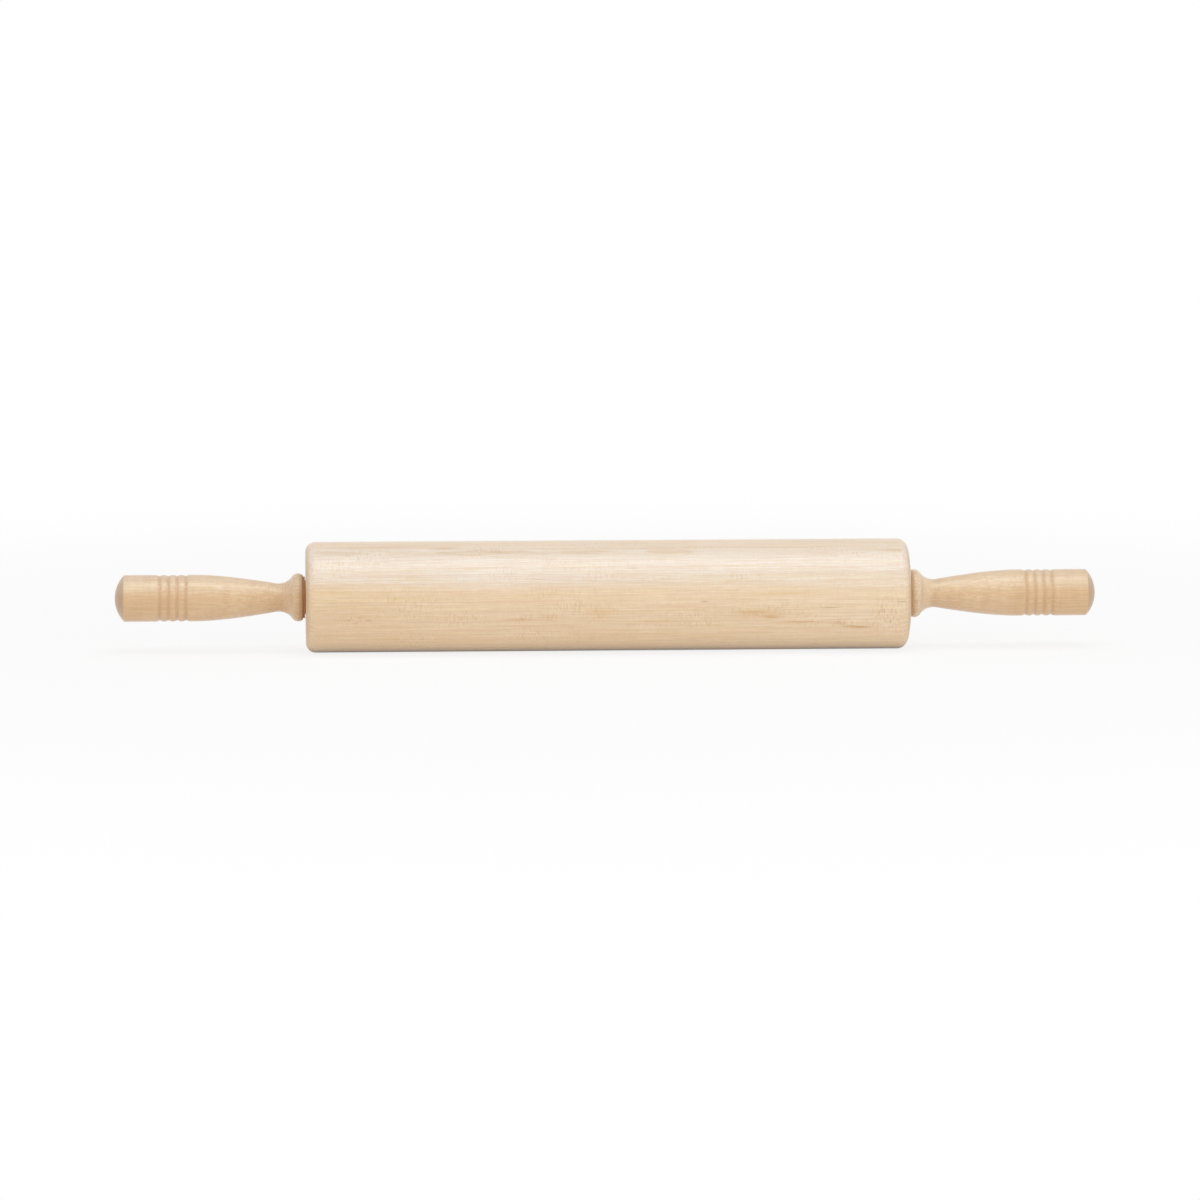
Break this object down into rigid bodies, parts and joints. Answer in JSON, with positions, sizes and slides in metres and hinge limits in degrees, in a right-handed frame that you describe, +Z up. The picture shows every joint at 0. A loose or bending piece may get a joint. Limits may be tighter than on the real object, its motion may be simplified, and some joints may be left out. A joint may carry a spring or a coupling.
{
  "type": "rolling pin",
  "caption": "Handled rolling pin: a turned maple barrel that spins on ball bearings about a steel axle rod while the turned handles are held still, for rolling out dough.",
  "frame": {"origin": "on the pin's axis, at the middle of the barrel's length", "axes": "+X along the pin's axis towards the right handle, +Z up, +Y away from the viewer"},
  "size_m": [0.621, 0.0698, 0.0698],
  "materials": {
    "barrel_maple": "sanded smooth, satin oiled hard maple",
    "handle_maple": "turned smooth, satin oiled hard maple, a little more golden",
    "rod_steel": "turned bright steel",
    "bearing_steel": "ground steel",
    "ball_steel": "polished bearing steel",
    "shield_steel": "pressed sheet steel",
    "insert_brass": "turned brass",
    "spacer_fibre": "pressed brown fibre",
    "cage_nylon": "moulded brown nylon"
  },
  "bodies": {
    "roller": {"barrel": "barrel_maple", "left_outer_ring": "bearing_steel", "left_inner_shield": "shield_steel", "left_outer_shield": "shield_steel", "right_outer_ring": "bearing_steel", "right_inner_shield": "shield_steel", "right_outer_shield": "shield_steel"},
    "axle": {"axle_rod": "rod_steel", "left_handle": "handle_maple", "left_handle_insert": "insert_brass", "left_spacer": "spacer_fibre", "left_inner_ring": "bearing_steel", "right_handle": "handle_maple", "right_handle_insert": "insert_brass", "right_spacer": "spacer_fibre", "right_inner_ring": "bearing_steel"},
    "left_cage": {"left_ball_cage": "cage_nylon"},
    "left_ball_1": {"left_ball_1": "ball_steel"},
    "left_ball_2": {"left_ball_2": "ball_steel"},
    "left_ball_3": {"left_ball_3": "ball_steel"},
    "left_ball_4": {"left_ball_4": "ball_steel"},
    "left_ball_5": {"left_ball_5": "ball_steel"},
    "left_ball_6": {"left_ball_6": "ball_steel"},
    "left_ball_7": {"left_ball_7": "ball_steel"},
    "right_cage": {"right_ball_cage": "cage_nylon"},
    "right_ball_1": {"right_ball_1": "ball_steel"},
    "right_ball_2": {"right_ball_2": "ball_steel"},
    "right_ball_3": {"right_ball_3": "ball_steel"},
    "right_ball_4": {"right_ball_4": "ball_steel"},
    "right_ball_5": {"right_ball_5": "ball_steel"},
    "right_ball_6": {"right_ball_6": "ball_steel"},
    "right_ball_7": {"right_ball_7": "ball_steel"}
  },
  "joints": [
    {"name": "axle_spin", "type": "hinge", "parent": "roller", "child": "axle", "pos_m": [0, 0, 0], "axis": [1, 0, 0], "continuous": true},
    {"name": "left_cage_spin", "type": "hinge", "parent": "roller", "child": "left_cage", "pos_m": [-0.1855, 0, 0], "axis": [1, 0, 0], "continuous": true},
    {"name": "left_ball_1_spin", "type": "hinge", "parent": "left_cage", "child": "left_ball_1", "pos_m": [-0.1855, 0, 0.0075], "axis": [1, 0, 0], "continuous": true},
    {"name": "left_ball_2_spin", "type": "hinge", "parent": "left_cage", "child": "left_ball_2", "pos_m": [-0.1855, 0.00586, 0.00468], "axis": [1, 0, 0], "continuous": true},
    {"name": "left_ball_3_spin", "type": "hinge", "parent": "left_cage", "child": "left_ball_3", "pos_m": [-0.1855, 0.00731, -0.00167], "axis": [1, 0, 0], "continuous": true},
    {"name": "left_ball_4_spin", "type": "hinge", "parent": "left_cage", "child": "left_ball_4", "pos_m": [-0.1855, 0.00325, -0.00676], "axis": [1, 0, 0], "continuous": true},
    {"name": "left_ball_5_spin", "type": "hinge", "parent": "left_cage", "child": "left_ball_5", "pos_m": [-0.1855, -0.00325, -0.00676], "axis": [1, 0, 0], "continuous": true},
    {"name": "left_ball_6_spin", "type": "hinge", "parent": "left_cage", "child": "left_ball_6", "pos_m": [-0.1855, -0.00731, -0.00167], "axis": [1, 0, 0], "continuous": true},
    {"name": "left_ball_7_spin", "type": "hinge", "parent": "left_cage", "child": "left_ball_7", "pos_m": [-0.1855, -0.00586, 0.00468], "axis": [1, 0, 0], "continuous": true},
    {"name": "right_cage_spin", "type": "hinge", "parent": "roller", "child": "right_cage", "pos_m": [0.1855, 0, 0], "axis": [1, 0, 0], "continuous": true},
    {"name": "right_ball_1_spin", "type": "hinge", "parent": "right_cage", "child": "right_ball_1", "pos_m": [0.1855, 0, 0.0075], "axis": [1, 0, 0], "continuous": true},
    {"name": "right_ball_2_spin", "type": "hinge", "parent": "right_cage", "child": "right_ball_2", "pos_m": [0.1855, 0.00586, 0.00468], "axis": [1, 0, 0], "continuous": true},
    {"name": "right_ball_3_spin", "type": "hinge", "parent": "right_cage", "child": "right_ball_3", "pos_m": [0.1855, 0.00731, -0.00167], "axis": [1, 0, 0], "continuous": true},
    {"name": "right_ball_4_spin", "type": "hinge", "parent": "right_cage", "child": "right_ball_4", "pos_m": [0.1855, 0.00325, -0.00676], "axis": [1, 0, 0], "continuous": true},
    {"name": "right_ball_5_spin", "type": "hinge", "parent": "right_cage", "child": "right_ball_5", "pos_m": [0.1855, -0.00325, -0.00676], "axis": [1, 0, 0], "continuous": true},
    {"name": "right_ball_6_spin", "type": "hinge", "parent": "right_cage", "child": "right_ball_6", "pos_m": [0.1855, -0.00731, -0.00167], "axis": [1, 0, 0], "continuous": true},
    {"name": "right_ball_7_spin", "type": "hinge", "parent": "right_cage", "child": "right_ball_7", "pos_m": [0.1855, -0.00586, 0.00468], "axis": [1, 0, 0], "continuous": true}
  ],
  "couplings": [
    {"joint": "left_cage_spin", "follows": "axle_spin", "ratio": 0.3677},
    {"joint": "left_ball_1_spin", "follows": "axle_spin", "ratio": -1.7573},
    {"joint": "left_ball_2_spin", "follows": "axle_spin", "ratio": -1.7573},
    {"joint": "left_ball_3_spin", "follows": "axle_spin", "ratio": -1.7573},
    {"joint": "left_ball_4_spin", "follows": "axle_spin", "ratio": -1.7573},
    {"joint": "left_ball_5_spin", "follows": "axle_spin", "ratio": -1.7573},
    {"joint": "left_ball_6_spin", "follows": "axle_spin", "ratio": -1.7573},
    {"joint": "left_ball_7_spin", "follows": "axle_spin", "ratio": -1.7573},
    {"joint": "right_cage_spin", "follows": "axle_spin", "ratio": 0.3677},
    {"joint": "right_ball_1_spin", "follows": "axle_spin", "ratio": -1.7573},
    {"joint": "right_ball_2_spin", "follows": "axle_spin", "ratio": -1.7573},
    {"joint": "right_ball_3_spin", "follows": "axle_spin", "ratio": -1.7573},
    {"joint": "right_ball_4_spin", "follows": "axle_spin", "ratio": -1.7573},
    {"joint": "right_ball_5_spin", "follows": "axle_spin", "ratio": -1.7573},
    {"joint": "right_ball_6_spin", "follows": "axle_spin", "ratio": -1.7573},
    {"joint": "right_ball_7_spin", "follows": "axle_spin", "ratio": -1.7573}
  ]
}
